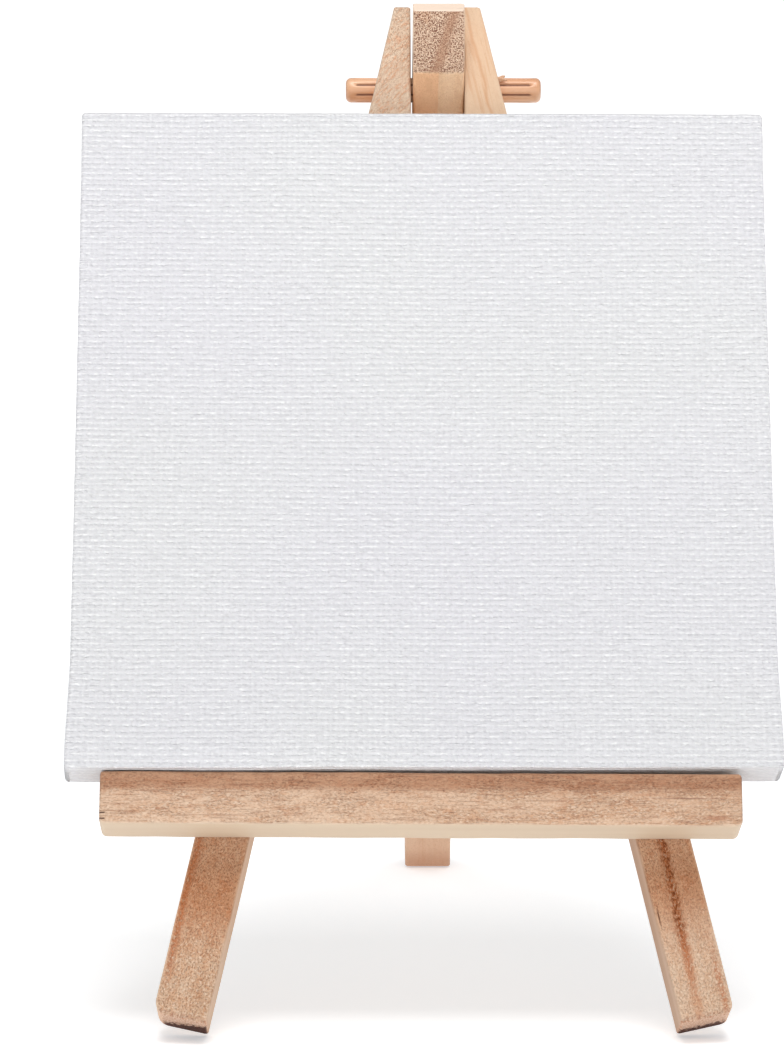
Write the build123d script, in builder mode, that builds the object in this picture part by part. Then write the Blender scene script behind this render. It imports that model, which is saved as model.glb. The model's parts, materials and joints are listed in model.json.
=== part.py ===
from build123d import *

import os
from math import cos, radians, sin, tan

# Tabletop easel: two splayed front legs and a swinging back leg on one wooden dowel, a ledge
# across the front legs, and a small stretched canvas resting on the ledge.
# Origin on the table under the middle of the overall box, +X to the easel's right as seen
# from the front, +Y to the back, +Z up.

# Driving dimensions, in millimetres and degrees.
LEAN = 24.5  # front plane, back from upright
SPLAY = 12.5  # each front leg, out from the middle line
SWING = 29.7  # back leg, back from upright
MIDDLE_X = 2.6  # middle line between the front legs
FRONT_LINE_Y = -73.1  # line where the front plane meets the table

STICK_WIDTH = 7.8  # all three legs, across
STICK_DEPTH = 8.2  # all three legs, front to back
EDGE_ROUND = 0.35  # sanded long edges
FOOT_OUT = 33.6  # inner corner of a front foot from the middle line
FOOT_CORNER = 1.6  # rounded outer corner of a front foot
LEG_TOP_UP = 161.6  # top of the front legs, up the front plane
SLOT_WIDTH = 8.2  # between the front legs' mitred inner faces

PIVOT_UP = 149.5  # hinge axis, up the front plane
BACK_LEG_SHIFT = 0.15  # back leg off the middle of its slot
TOP_CUT_START = 5.4  # above the hinge axis, on the back leg's front face
TOP_CUT_ANGLE = 38.3  # slant of the back leg's top, off its own length
BACK_LEG_TOP = 12.9  # square tip of the back leg above the hinge axis

DOWEL_RADIUS = 1.9
DOWEL_LENGTH = 29.8
DOWEL_SHIFT = 0.95  # dowel's middle off the middle line
DOWEL_CHAMFER = 0.7
FLUTES = 7
FLUTE_RADIUS = 0.3
FLUTE_END = 1.3  # plain length at each end
PRESS = 0.02  # dowel tight in the front legs
RUNNING = 0.05  # dowel loose in the back leg

LEDGE_LENGTH = 91.4
LEDGE_HEIGHT = 7.74
LEDGE_DEPTH = 7.8
LEDGE_SHIFT = -3.2  # ledge's middle off the middle line
LEDGE_UP = 34.55  # ledge's middle, up the front plane
LEDGE_TURN = -0.3  # out of level

BRAD_RADIUS = 0.5
BRAD_LENGTH = 13.0
BRAD_HEAD_RADIUS = 0.95
BRAD_HEAD = 0.4

CANVAS_WIDTH = 101.6
CANVAS_HEIGHT = 101.2
CANVAS_THICKNESS = 8.2
CANVAS_SHIFT = -2.6  # canvas's middle off the middle line
CANVAS_UP = 39.0  # bottom of the canvas, up the front plane
CANVAS_GAP = 0.4  # back of the cloth clear of the legs
CANVAS_TURN = -0.1
CLOTH = 0.4
HEM_WIDTH = 8.0  # cloth turned over the back of the bars
BAR_WIDTH = 14.0
BAR_LIP = 2.0  # flat outer lip that carries the cloth
BAR_BEVEL = 1.0  # fall of the bar's front from lip to inner edge

STAPLE_CROWN = 6.0
STAPLE_WIRE = 0.3
STAPLE_WIDTH = 0.6
STAPLE_LEG = 4.0
STAPLE_PITCH = 44.0  # between the two cloth staples of one bar
STAPLE_INSET = 5.0  # cloth staples, in from the canvas's edge
CORNER_INSET = 11.0  # corner staples, in from both edges

# Frame of the front plane: x across, y up the slope, z out of the front.
front_out = Vector(0, -cos(radians(LEAN)), sin(radians(LEAN)))
front = Plane(origin=(MIDDLE_X, FRONT_LINE_Y, 0), x_dir=(1, 0, 0), z_dir=front_out)
pivot = front.from_local_coords(Vector(0, PIVOT_UP, -STICK_DEPTH / 2))
hinge = Plane(origin=pivot, x_dir=(0, 1, 0), z_dir=(1, 0, 0))


def turned(plane, angle):
    """The plane turned in itself, about its own z axis."""
    return Plane(plane.location * Rot(Z=angle))


# Front leg outline: a straight stick, splayed, with its inner face mitred upright at the top.
slope = tan(radians(SPLAY))
foot_up = STICK_DEPTH * tan(radians(LEAN))
toe_x = FOOT_OUT + STICK_WIDTH * cos(radians(SPLAY))
toe_up = foot_up + STICK_WIDTH * sin(radians(SPLAY))
mitre_up = foot_up + (FOOT_OUT - SLOT_WIDTH / 2) / slope
top_x = toe_x - (LEG_TOP_UP - toe_up) * slope
brad_up = LEDGE_UP
brad_x = (FOOT_OUT + toe_x) / 2 - (brad_up - (foot_up + toe_up) / 2) * slope

with BuildPart() as front_leg_right:
    with BuildSketch(front):
        with BuildLine():
            Polyline(
                (FOOT_OUT, foot_up),
                (toe_x, toe_up),
                (top_x, LEG_TOP_UP),
                (SLOT_WIDTH / 2, LEG_TOP_UP),
                (SLOT_WIDTH / 2, mitre_up),
                close=True,
            )
        make_face()
    extrude(amount=-STICK_DEPTH)
    corners = front_leg_right.edges().filter_by(Axis((0, 0, 0), front_out))
    fillet(corners.sort_by(Axis.X)[-1], radius=FOOT_CORNER)
    corners = front_leg_right.edges().filter_by(Axis((0, 0, 0), front_out))
    fillet(corners.sort_by(Axis.Z)[-2:], radius=EDGE_ROUND)
    long_edges = front_leg_right.edges().filter_by(lambda edge: edge.length > 2 * STICK_DEPTH)
    fillet(long_edges, radius=EDGE_ROUND)
    with Locations(hinge):
        Hole(radius=DOWEL_RADIUS - PRESS)
front_leg_right.part.label = "front_leg_right"

with BuildPart() as front_leg_left:
    mirror(front_leg_right.part, about=Plane.YZ.offset(MIDDLE_X))
front_leg_left.part.label = "front_leg_left"

# Back leg, drawn from its side: x towards its front face, y up its length from the hinge axis.
swing = radians(SWING)
back_side = Plane(origin=pivot, x_dir=(0, -cos(swing), -sin(swing)), z_dir=(-1, 0, 0))
half_depth = STICK_DEPTH / 2
back_foot = (pivot.Z - half_depth * sin(swing)) / cos(swing)
tip_x = half_depth - (BACK_LEG_TOP - TOP_CUT_START) * tan(radians(TOP_CUT_ANGLE))

with BuildPart() as back_leg:
    with BuildSketch(back_side.offset(-BACK_LEG_SHIFT - STICK_WIDTH / 2)):
        with BuildLine():
            Polyline(
                (half_depth, -back_foot),
                (half_depth, TOP_CUT_START),
                (tip_x, BACK_LEG_TOP),
                (-half_depth, BACK_LEG_TOP),
                (-half_depth, -back_foot),
                close=True,
            )
        make_face()
    extrude(amount=STICK_WIDTH)
    long_edges = back_leg.edges().filter_by(lambda edge: edge.length > 2 * STICK_DEPTH)
    fillet(long_edges, radius=EDGE_ROUND)
    with Locations(hinge):
        Hole(radius=DOWEL_RADIUS + RUNNING)
back_leg.part.label = "back_leg"

# Fluted dowel, pressed through both front legs; the back leg turns on it.
dowel_middle = hinge.offset(DOWEL_SHIFT)

with BuildPart() as hinge_dowel:
    with BuildSketch(dowel_middle):
        Circle(DOWEL_RADIUS)
    extrude(amount=DOWEL_LENGTH / 2, both=True)
    chamfer(hinge_dowel.edges().filter_by(GeomType.CIRCLE), length=DOWEL_CHAMFER)
    with BuildSketch(dowel_middle):
        with PolarLocations(DOWEL_RADIUS, FLUTES, start_angle=180 / FLUTES - SWING / 3):
            Circle(FLUTE_RADIUS)
    extrude(amount=DOWEL_LENGTH / 2 - FLUTE_END, both=True, mode=Mode.SUBTRACT)
hinge_dowel.part.label = "hinge_dowel"

# Ledge: a plain bar with eased edges on the front faces of the front legs.
ledge_centre = front.from_local_coords(Vector(LEDGE_SHIFT, LEDGE_UP, 0))
ledge_middle = turned(Plane(origin=ledge_centre, x_dir=(1, 0, 0), z_dir=front_out), LEDGE_TURN)

with BuildPart() as ledge:
    with BuildSketch(ledge_middle):
        Rectangle(LEDGE_LENGTH, LEDGE_HEIGHT)
    extrude(amount=LEDGE_DEPTH)
    fillet(ledge.edges(), radius=EDGE_ROUND)
ledge.part.label = "ledge"

# One brad from behind each front leg into the ledge, its head flush with the leg's back.
with BuildPart() as ledge_brads:
    with BuildSketch(front.offset(-STICK_DEPTH)):
        with Locations((-brad_x, brad_up), (brad_x, brad_up)):
            Circle(BRAD_HEAD_RADIUS)
    extrude(amount=BRAD_HEAD)
    with BuildSketch(front.offset(-STICK_DEPTH)):
        with Locations((-brad_x, brad_up), (brad_x, brad_up)):
            Circle(BRAD_RADIUS)
    extrude(amount=BRAD_LENGTH)
ledge_brads.part.label = "ledge_brads"

# Frame of the canvas: origin at the middle of the cloth's back, z out of the painted face.
canvas_centre = front.from_local_coords(
    Vector(CANVAS_SHIFT, CANVAS_UP + CANVAS_HEIGHT / 2, CANVAS_GAP)
)
canvas_back = turned(Plane(origin=canvas_centre, x_dir=(1, 0, 0), z_dir=front_out), CANVAS_TURN)
half_width = CANVAS_WIDTH / 2 - CLOTH
half_height = CANVAS_HEIGHT / 2 - CLOTH
bar_front = CANVAS_THICKNESS - CLOTH

# Mitred stretcher bars, one for each side. Each is drawn as the bottom bar and turned.
bars = []
for name, turn, run, reach in (
    ("stretcher_bottom", 0, half_width, half_height),
    ("stretcher_right", 90, half_height, half_width),
    ("stretcher_top", 180, half_width, half_height),
    ("stretcher_left", 270, half_height, half_width),
):
    side = turned(canvas_back, turn)
    section = Plane(origin=side.origin, x_dir=-side.y_dir, z_dir=-side.x_dir)
    with BuildPart() as bar:
        with BuildSketch(section):
            with BuildLine():
                Polyline(
                    (reach - BAR_WIDTH, CLOTH),
                    (reach, CLOTH),
                    (reach, bar_front),
                    (reach - BAR_LIP, bar_front),
                    (reach - BAR_WIDTH, bar_front - BAR_BEVEL),
                    close=True,
                )
            make_face()
        extrude(amount=run, both=True)
        with BuildSketch(side):
            with BuildLine():
                Polyline(
                    (-run, -reach),
                    (run, -reach),
                    (run - BAR_WIDTH, BAR_WIDTH - reach),
                    (BAR_WIDTH - run, BAR_WIDTH - reach),
                    close=True,
                )
            make_face()
        extrude(amount=CANVAS_THICKNESS, mode=Mode.INTERSECT)
    bar.part.label = name
    bars.append(bar.part)

# Cloth: over the front and the four edges, and turned over the back as a hem.
with BuildPart() as canvas_cloth:
    with BuildSketch(canvas_back):
        Rectangle(CANVAS_WIDTH, CANVAS_HEIGHT)
    extrude(amount=CANVAS_THICKNESS)
    with BuildSketch(canvas_back.offset(CLOTH)):
        Rectangle(2 * half_width, 2 * half_height)
    extrude(amount=bar_front - CLOTH, mode=Mode.SUBTRACT)
    with BuildSketch(canvas_back):
        Rectangle(CANVAS_WIDTH - 2 * HEM_WIDTH, CANVAS_HEIGHT - 2 * HEM_WIDTH)
    extrude(amount=CLOTH, mode=Mode.SUBTRACT)
canvas_cloth.part.label = "canvas_cloth"

# Staples over the hem, two on each bar: a crown on the cloth and two legs into the wood.
leg_pitch = STAPLE_CROWN - STAPLE_WIRE

with BuildPart() as cloth_staples:
    for turn, reach in (
        (0, CANVAS_HEIGHT / 2),
        (90, CANVAS_WIDTH / 2),
        (180, CANVAS_HEIGHT / 2),
        (270, CANVAS_WIDTH / 2),
    ):
        side = turned(canvas_back, turn).offset(-STAPLE_WIRE)
        row = [(-STAPLE_PITCH / 2, STAPLE_INSET - reach), (STAPLE_PITCH / 2, STAPLE_INSET - reach)]
        with BuildSketch(side):
            with Locations(*row):
                Rectangle(STAPLE_CROWN, STAPLE_WIDTH)
        extrude(amount=STAPLE_WIRE)
        with BuildSketch(side):
            with Locations(*row):
                with GridLocations(leg_pitch, 0, 2, 1):
                    Rectangle(STAPLE_WIRE, STAPLE_WIDTH)
        extrude(amount=STAPLE_WIRE + CLOTH + STAPLE_LEG)
cloth_staples.part.label = "cloth_staples"

# Corner staples: one across each mitre, on the bare back of the bars.
with BuildPart() as corner_staples:
    for right, up in ((-1, -1), (1, -1), (1, 1), (-1, 1)):
        corner = Vector(
            right * (CANVAS_WIDTH / 2 - CORNER_INSET),
            up * (CANVAS_HEIGHT / 2 - CORNER_INSET),
            CLOTH - STAPLE_WIRE,
        )
        square = Plane(
            origin=canvas_back.from_local_coords(corner),
            x_dir=canvas_back.x_dir,
            z_dir=canvas_back.z_dir,
        )
        across = turned(square, -45 * right * up)
        with BuildSketch(across):
            Rectangle(STAPLE_CROWN, STAPLE_WIDTH)
        extrude(amount=STAPLE_WIRE)
        with BuildSketch(across):
            with GridLocations(leg_pitch, 0, 2, 1):
                Rectangle(STAPLE_WIRE, STAPLE_WIDTH)
        extrude(amount=STAPLE_WIRE + STAPLE_LEG)
corner_staples.part.label = "corner_staples"

os.makedirs("parts", exist_ok=True)
export_step(front_leg_right.part, "parts/front_leg_right.step")
export_step(front_leg_left.part, "parts/front_leg_left.step")
export_step(back_leg.part, "parts/back_leg.step")
export_step(hinge_dowel.part, "parts/hinge_dowel.step")
export_step(ledge.part, "parts/ledge.step")
export_step(ledge_brads.part, "parts/ledge_brads.step")
for bar_part in bars:
    export_step(bar_part, f"parts/{bar_part.label}.step")
export_step(canvas_cloth.part, "parts/canvas_cloth.step")
export_step(cloth_staples.part, "parts/cloth_staples.step")
export_step(corner_staples.part, "parts/corner_staples.step")
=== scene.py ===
import json
from itertools import product
from math import atan, cos, pi, radians, sin, tan

import bpy
import numpy as np
from mathutils import Matrix, Vector


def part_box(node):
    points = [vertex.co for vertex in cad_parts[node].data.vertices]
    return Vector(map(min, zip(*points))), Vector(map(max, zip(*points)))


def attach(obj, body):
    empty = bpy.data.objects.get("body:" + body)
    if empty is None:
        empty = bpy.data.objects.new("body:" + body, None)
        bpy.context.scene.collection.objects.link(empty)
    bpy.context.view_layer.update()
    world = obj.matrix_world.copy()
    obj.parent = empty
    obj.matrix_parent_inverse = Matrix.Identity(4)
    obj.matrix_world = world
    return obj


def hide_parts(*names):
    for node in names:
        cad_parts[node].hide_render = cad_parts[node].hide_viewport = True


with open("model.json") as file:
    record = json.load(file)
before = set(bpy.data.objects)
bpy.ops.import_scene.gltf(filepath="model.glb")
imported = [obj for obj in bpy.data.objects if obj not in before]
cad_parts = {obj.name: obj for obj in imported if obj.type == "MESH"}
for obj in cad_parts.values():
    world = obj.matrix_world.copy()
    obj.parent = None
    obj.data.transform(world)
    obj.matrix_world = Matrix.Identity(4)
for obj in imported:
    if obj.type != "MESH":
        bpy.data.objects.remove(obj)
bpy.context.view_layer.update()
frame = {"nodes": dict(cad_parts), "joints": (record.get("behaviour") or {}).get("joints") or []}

# Tabletop easel in pine with a small stretched canvas. Lengths are in metres; MM turns a size in
# millimetres into metres, and the materials work in millimetres.
MM = 0.001

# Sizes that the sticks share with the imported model.
SPLAY = radians(12.5)  # each front leg, out from the middle line
SWING = radians(29.7)  # back leg, back from upright
STICK_WIDTH = 7.8 * MM
FOOT_OUT = 33.6 * MM  # inner corner of a front foot from the middle line
SLOT_WIDTH = 8.2 * MM  # between the front legs' mitred inner faces
TOP_CUT_START = 5.4 * MM  # slanted cut of the back leg, above the hinge axis
TOP_CUT_ANGLE = radians(38.3)
DOWEL_FLUTES = 7
LEDGE_TURN = radians(-0.3)
CANVAS_TURN = radians(-0.1)

# How the saw and the sander leave the sticks. A pair of rounds is for the two rails.
EDGE_ROUND = 0.35 * MM
EDGE_WEAR = 0.45  # share of that radius that the wear adds or takes
END_ROUND = 0.2 * MM
FOOT_CORNERS = {-1: 2.0 * MM, 1: 1.4 * MM}  # outer corner of the left and the right foot
FOOT_EASE = 0.7 * MM
BACK_FOOT_ROUND = 0.6 * MM
CUT_TIP_ROUNDS = (0.15 * MM, 0.3 * MM)
LEDGE_LEFT_ROUNDS = (0.5 * MM, 0.8 * MM)
LEDGE_RIGHT_ROUNDS = (0.6 * MM, 1.0 * MM)
STICK_SPACING = 0.42 * MM  # between two rings of a stick
FRONT_RELIEF = 0.035  # height of the torn fibres, in millimetres
LEDGE_RELIEF = 0.03
BACK_RELIEF = 0.012
WAVE_RELIEF = 0.05

# The dowel. Its grooves' places and widths are shares of the way from one to the next.
DOWEL_SPACING = 0.3 * MM
DOWEL_SIDES = 168
DOWEL_END_ROUND = 0.8 * MM
DOWEL_PLAIN_END = 1.2 * MM
DOWEL_RELIEF = 0.02 * MM
FLUTE_DEPTH = 0.34 * MM
FLUTE_FADE = 0.7 * MM
FLUTE_PLACE = 0.55
FLUTE_HALF_WIDTH = 0.13

# The cloth.
CLOTH_THICKNESS = 0.35 * MM
CLOTH_FRONT_ROUND = 0.5 * MM
CLOTH_CORNER_ROUND = 0.72 * MM
CLOTH_BACK_ROUND = 0.4 * MM
HEM = 8.0 * MM
RIB_PITCH = 0.86  # between two ribs, in millimetres
THREAD_PITCH = 0.8  # between two of the threads that cross them

# ------------------------------
# Working frames


def mm(*sizes):
    """Sizes in millimetres, as metres."""
    return tuple(size * MM for size in sizes)


def unit(vector):
    """The vector at length one."""
    vector = np.asarray(vector, float)
    return vector / np.linalg.norm(vector)


class Bench:
    """A working frame: an origin and three axes, across, up and out."""

    def __init__(self, origin, across, up):
        self.origin = np.asarray(origin, float)
        across, up = unit(across), unit(up)
        self.axes = np.array([across, up, np.cross(across, up)])

    def world(self, points):
        """Points of this frame, in the shared frame."""
        return self.origin + np.asarray(points) @ self.axes

    def extent(self, node):
        """Lowest and highest corner of a CAD node, measured along this frame's axes."""
        mesh = frame["nodes"][node].data
        points = np.empty(3 * len(mesh.vertices), np.float32)
        mesh.vertices.foreach_get("co", points)
        local = (points.reshape(-1, 3) - self.origin) @ self.axes.T
        return local.min(0), local.max(0)

    def turned(self, angle):
        """This frame turned in its own plane."""
        across = cos(angle) * self.axes[0] + sin(angle) * self.axes[1]
        return Bench(self.origin, across, np.cross(self.axes[2], across))


joints = {joint["name"]: joint for joint in frame["joints"]}
pivot = np.array(joints["back_leg_hinge"]["pos_m"])
out_of_front = unit(joints["canvas_lift_off"]["axis"])
up_front = np.cross(out_of_front, (1, 0, 0))
FRONT_LEAN = atan(-out_of_front[2] / out_of_front[1])

# Front plane: across from the middle line, up the slope from the table, out of the front.
through_pivot = Bench(pivot, (1, 0, 0), up_front)
front_face = through_pivot.extent("front_leg_right")[1][2]
on_front = pivot + front_face * through_pivot.axes[2]
front = Bench(on_front - up_front * on_front[2] / up_front[2], (1, 0, 0), up_front)

# Back leg's side: across towards its front face, up its length from the hinge axis.
back_side = Bench(pivot, (0, -cos(SWING), -sin(SWING)), (0, -sin(SWING), cos(SWING)))

# ------------------------------
# Shapes


def soft_noise(points, seed):
    """Smooth noise from -1 to 1: random values at whole numbers, blended with an ease curve."""
    size = 32
    table = np.random.default_rng(seed).uniform(-1, 1, (size, size, size))
    base = np.floor(points).astype(int)
    part = points - base
    part = part * part * (3 - 2 * part)
    total = np.zeros(points.shape[:-1])
    for step in product((0, 1), repeat=3):
        share = np.prod(np.where(step, part, 1 - part), axis=-1)
        cell = (base + step) % size
        total += share * table[cell[..., 0], cell[..., 1], cell[..., 2]]
    return total


def ease(value):
    """0 below 0, 1 above 1, and a smooth climb between them."""
    value = np.clip(value, 0, 1)
    return value * value * (3 - 2 * value)


def rounded_inset(distance, radius):
    """How far a quarter circle of that radius draws a face in, at that distance from the end."""
    reach = np.clip(radius - distance, 0, radius)
    return radius - np.sqrt(radius * radius - reach * reach)


def round_the_section(counts, arc_steps=4):
    """Once round a rounded rectangle whose sides have those counts of faces: the corner centres
    (-1 to 1) and the unit normals."""
    centres, normals = [], []
    for quarter, count in enumerate(counts):
        turn = quarter * pi / 2
        facing = np.array([cos(turn), sin(turn)])
        beside = np.array([-sin(turn), cos(turn)])
        along = np.linspace(-1, 1, count + 1)[1:-1, None]
        angles = turn + np.linspace(0, pi / 2, arc_steps + 1)
        centres += [facing + along * beside, np.tile(facing + beside, (arc_steps + 1, 1))]
        normals += [np.tile(facing, (count - 1, 1)), np.stack((np.cos(angles), np.sin(angles)), 1)]
    return np.concatenate(centres), np.concatenate(normals)


def add_piece(name, points, quads, triangles, fields):
    """A smooth mesh piece from its points and faces, turned so that its faces point outwards."""
    faces = np.concatenate((quads[:, [0, 1, 2]], quads[:, [0, 2, 3]], triangles))
    a, b, c = points[faces[:, 0]], points[faces[:, 1]], points[faces[:, 2]]
    if (a * np.cross(b, c)).sum() < 0:
        quads, triangles = quads[:, ::-1], triangles[:, ::-1]
    mesh = bpy.data.meshes.new(name)
    mesh.from_pydata(points.tolist(), [], quads.tolist() + triangles.tolist())
    for field, values in fields.items():
        layer = mesh.attributes.new(field, "FLOAT_VECTOR", "POINT")
        layer.data.foreach_set("vector", values.astype(np.float32).ravel())
    mesh.polygons.foreach_set("use_smooth", np.ones(len(mesh.polygons), bool))
    mesh.validate()
    piece = bpy.data.objects.new(name, mesh)
    bpy.context.scene.collection.objects.link(piece)
    return piece


def close_skin(name, rings, fields, cap_scales=(0.9, 0.72, 0.5, 0.28, 0.1)):
    """A closed skin from rings of points: beyond each end the ring shrinks in steps to a pole.

    rings is (rows, around, 3); every field has the same shape and follows its points.
    """

    def capped(values):
        steps = np.array(cap_scales)[:, None, None]
        first, last = values[:1], values[-1:]
        first_pole, last_pole = first.mean(1, keepdims=True), last.mean(1, keepdims=True)
        opening = first_pole + (first - first_pole) * steps[::-1]
        closing = last_pole + (last - last_pole) * steps
        skin = np.concatenate((opening, values, closing)).reshape(-1, 3)
        return np.concatenate((skin, first_pole[0], last_pole[0]))

    around = rings.shape[1]
    rows = rings.shape[0] + 2 * len(cap_scales)
    grid = np.arange(rows * around).reshape(rows, around)
    ahead = np.roll(grid, -1, axis=1)
    quads = np.stack((grid[:-1], ahead[:-1], ahead[1:], grid[1:]), -1).reshape(-1, 4)
    first_pole = np.full(around, rows * around)
    start = np.stack((ahead[0], grid[0], first_pole), -1)
    finish = np.stack((grid[-1], ahead[-1], first_pole + 1), -1)
    capped_fields = {field: capped(values) for field, values in fields.items()}
    return add_piece(name, capped(rings), quads, np.concatenate((start, finish)), capped_fields)


def ease_along(length, radius, steps=7):
    """Places for a quarter circle of that radius at the near end of a length, and at its far
    end, close together where the curve is steep."""
    reach = radius * (1 - np.cos(np.linspace(0, pi / 2, steps)))
    return reach, length - reach


def stick_rings(bench, places, rails, span, ends, eased, counts, seed, rough, relief):
    """Rings of a sawn stick between two rails that lie in the bench's plane.

    Row by row a rounded rectangle reaches from rail b to rail a, and over the span (low, high)
    out of the plane. rails holds a and b, as (across, up) at each of places, the distances along
    the stick. ends holds the corner radii of a and b at the first and the last end, and eased
    the radii there over the span. The edges are rounded unevenly, and the faces carry low waves
    and, in the section's directions that rough marks with 1, the saw's relief.
    """
    length = places[-1]
    (first_a, first_b), (last_a, last_b) = ends
    rounds = [ease_along(length, radius)[0] for radius in (first_a, first_b)]
    rounds += [ease_along(length, radius)[1] for radius in (last_a, last_b)]
    rows = np.concatenate([np.arange(0, length, STICK_SPACING), [length], *rounds])
    distance = np.unique(rows.round(7))
    from_end = length - distance
    a, b = (
        np.stack([np.interp(distance, places, [point[k] for point in rail]) for k in (0, 1)], 1)
        for rail in rails
    )
    across = (a - b) / np.linalg.norm(a - b, axis=1, keepdims=True)
    a = a - across * (rounded_inset(distance, first_a) + rounded_inset(from_end, last_a))[:, None]
    b = b + across * (rounded_inset(distance, first_b) + rounded_inset(from_end, last_b))[:, None]
    edge = rounded_inset(distance, eased[0]) + rounded_inset(from_end, eased[1])
    half_width = np.linalg.norm(a - b, axis=1)[:, None] / 2
    half_depth = (span[1] - span[0]) / 2 - edge[:, None]

    centres, normals = round_the_section(counts)
    place = np.broadcast_arrays(distance[:, None], centres[:, 0] * 3, centres[:, 1] * 3)
    wear = soft_noise(np.stack(place, -1) * (0.25 / MM, 1, 1), seed)
    radius = EDGE_ROUND * (1 + EDGE_WEAR * wear)
    width = centres[:, 0] * (half_width - radius) + normals[:, 0] * radius
    depth = centres[:, 1] * (half_depth - radius) + normals[:, 1] * radius

    # Grain, in millimetres: across the stick, along it, through it.
    foot_a, foot_b = np.array(rails[0][0]), np.array(rails[1][0])
    along = unit(np.subtract(rails[0][1], foot_a))
    sideways = np.array([along[1], -along[0]])
    flat = ((a + b) / 2)[:, None] + across[:, None] * width[..., None]
    from_foot = flat - (foot_a + foot_b) / 2
    grain = np.stack((from_foot @ sideways, from_foot @ along, depth), -1) / MM

    # Relief along the section's normals: long waves everywhere, torn fibres on the rough faces.
    sawn = normals[:, 0] ** 2 * rough[0] + normals[:, 1] ** 2 * rough[1]
    sawn = np.broadcast_to(sawn, width.shape)
    waves = WAVE_RELIEF * soft_noise(grain * (0.2, 0.06, 0.2), seed + 1)
    torn = soft_noise(grain * (1.5, 0.7, 1.5), seed + 2)
    torn = torn + 0.7 * soft_noise(grain * (3, 1.7, 3), seed + 3)
    lift = (waves + sawn * relief * torn) * MM
    flat = flat + across[:, None] * (normals[:, 0] * lift)[..., None]
    depth = (span[0] + span[1]) / 2 + depth + normals[:, 1] * lift

    closeness = np.minimum(distance, from_end)[:, None]
    end = np.broadcast_to(ease(1 - closeness / (0.6 * EDGE_ROUND)), width.shape)
    worn = np.broadcast_to((np.abs(normals).min(1) > 0.05).astype(float), width.shape)
    faces = np.stack((sawn * (1 - end), end, worn), -1)
    rings = bench.world(np.concatenate((flat, depth[..., None]), -1))
    return rings, {"grain": grain, "faces": faces}


def front_leg(name, side, seed):
    """A front leg: one rail is the straight outer edge, the other runs up the inner edge and
    turns upright at the mitre. side is -1 on the left and 1 on the right."""
    low, high = front.extent("front_leg_right" if side > 0 else "front_leg_left")
    foot_up = -low[2] * tan(FRONT_LEAN)
    toe_x, toe_up = FOOT_OUT + STICK_WIDTH * cos(SPLAY), foot_up + STICK_WIDTH * sin(SPLAY)
    top_x = toe_x - (high[1] - toe_up) * tan(SPLAY)
    mitre_up = foot_up + (FOOT_OUT - SLOT_WIDTH / 2) / tan(SPLAY)
    mitre_at = (mitre_up - foot_up) / cos(SPLAY)
    length = (high[1] - toe_up) / cos(SPLAY)
    share = mitre_at / length
    beside_mitre = (toe_x + share * (top_x - toe_x), toe_up + share * (high[1] - toe_up))
    outer = [(toe_x, toe_up), beside_mitre, (top_x, high[1])]
    inner = [(FOOT_OUT, foot_up), (SLOT_WIDTH / 2, mitre_up), (SLOT_WIDTH / 2, high[1])]
    rings, fields = stick_rings(
        front,
        places=[0, mitre_at, length],
        rails=[[(side * x, y) for x, y in rail] for rail in (outer, inner)],
        span=(low[2], high[2]),
        ends=((FOOT_CORNERS[side], EDGE_ROUND), (END_ROUND, END_ROUND)),
        eased=(FOOT_EASE, END_ROUND),
        counts=(12, 24, 12, 12),
        seed=seed,
        rough=(0, 1),
        relief=FRONT_RELIEF,
    )
    return close_skin(name, rings, fields)


def swinging_leg(name, seed):
    """The back leg: its front rail ends in the slanted cut, its back rail runs straight up."""
    low, high = back_side.extent("back_leg")
    tip = high[0] - (high[1] - TOP_CUT_START) * tan(TOP_CUT_ANGLE)
    cut_at = TOP_CUT_START - low[1]
    length = cut_at + (high[1] - TOP_CUT_START) / cos(TOP_CUT_ANGLE)
    counts = (24, 12, 12, 12)
    rings, fields = stick_rings(
        back_side,
        places=[0, cut_at, length],
        rails=[
            [(high[0], low[1]), (high[0], TOP_CUT_START), (tip, high[1])],
            [(low[0], low[1]), (low[0], TOP_CUT_START), (low[0], high[1])],
        ],
        span=(low[2], high[2]),
        ends=((BACK_FOOT_ROUND, EDGE_ROUND), CUT_TIP_ROUNDS),
        eased=(EDGE_ROUND, END_ROUND),
        counts=counts,
        seed=seed,
        rough=(1, 0),
        relief=BACK_RELIEF,
    )
    # The slanted cut shows the ends of the fibres, as the two square ends do.
    grain, faces = fields["grain"], fields["faces"]
    above_cut = grain[..., 1] * MM + low[1] - TOP_CUT_START
    before_tip = grain[..., 0] * MM - tip
    on_cut = ease(above_cut / (0.1 * MM)) * ease(before_tip / (0.2 * MM) + 1)
    front_side = round_the_section(counts)[1][:, 0] > 0.6
    faces[..., 1] = np.maximum(faces[..., 1], on_cut * front_side)
    return close_skin(name, rings, fields)


def ledge_bar(name, seed):
    """The ledge: a straight bar, its rails the top and the bottom edge."""
    bench = front.turned(LEDGE_TURN)
    low, high = bench.extent("ledge")
    rings, fields = stick_rings(
        bench,
        places=[0, high[0] - low[0]],
        rails=[[(low[0], edge), (high[0], edge)] for edge in (high[1], low[1])],
        span=(low[2], high[2]),
        ends=(LEDGE_LEFT_ROUNDS, LEDGE_RIGHT_ROUNDS),
        eased=(EDGE_ROUND, EDGE_ROUND),
        counts=(12, 26, 12, 12),
        seed=seed,
        rough=(0, 1),
        relief=LEDGE_RELIEF,
    )
    return close_skin(name, rings, fields)


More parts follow.
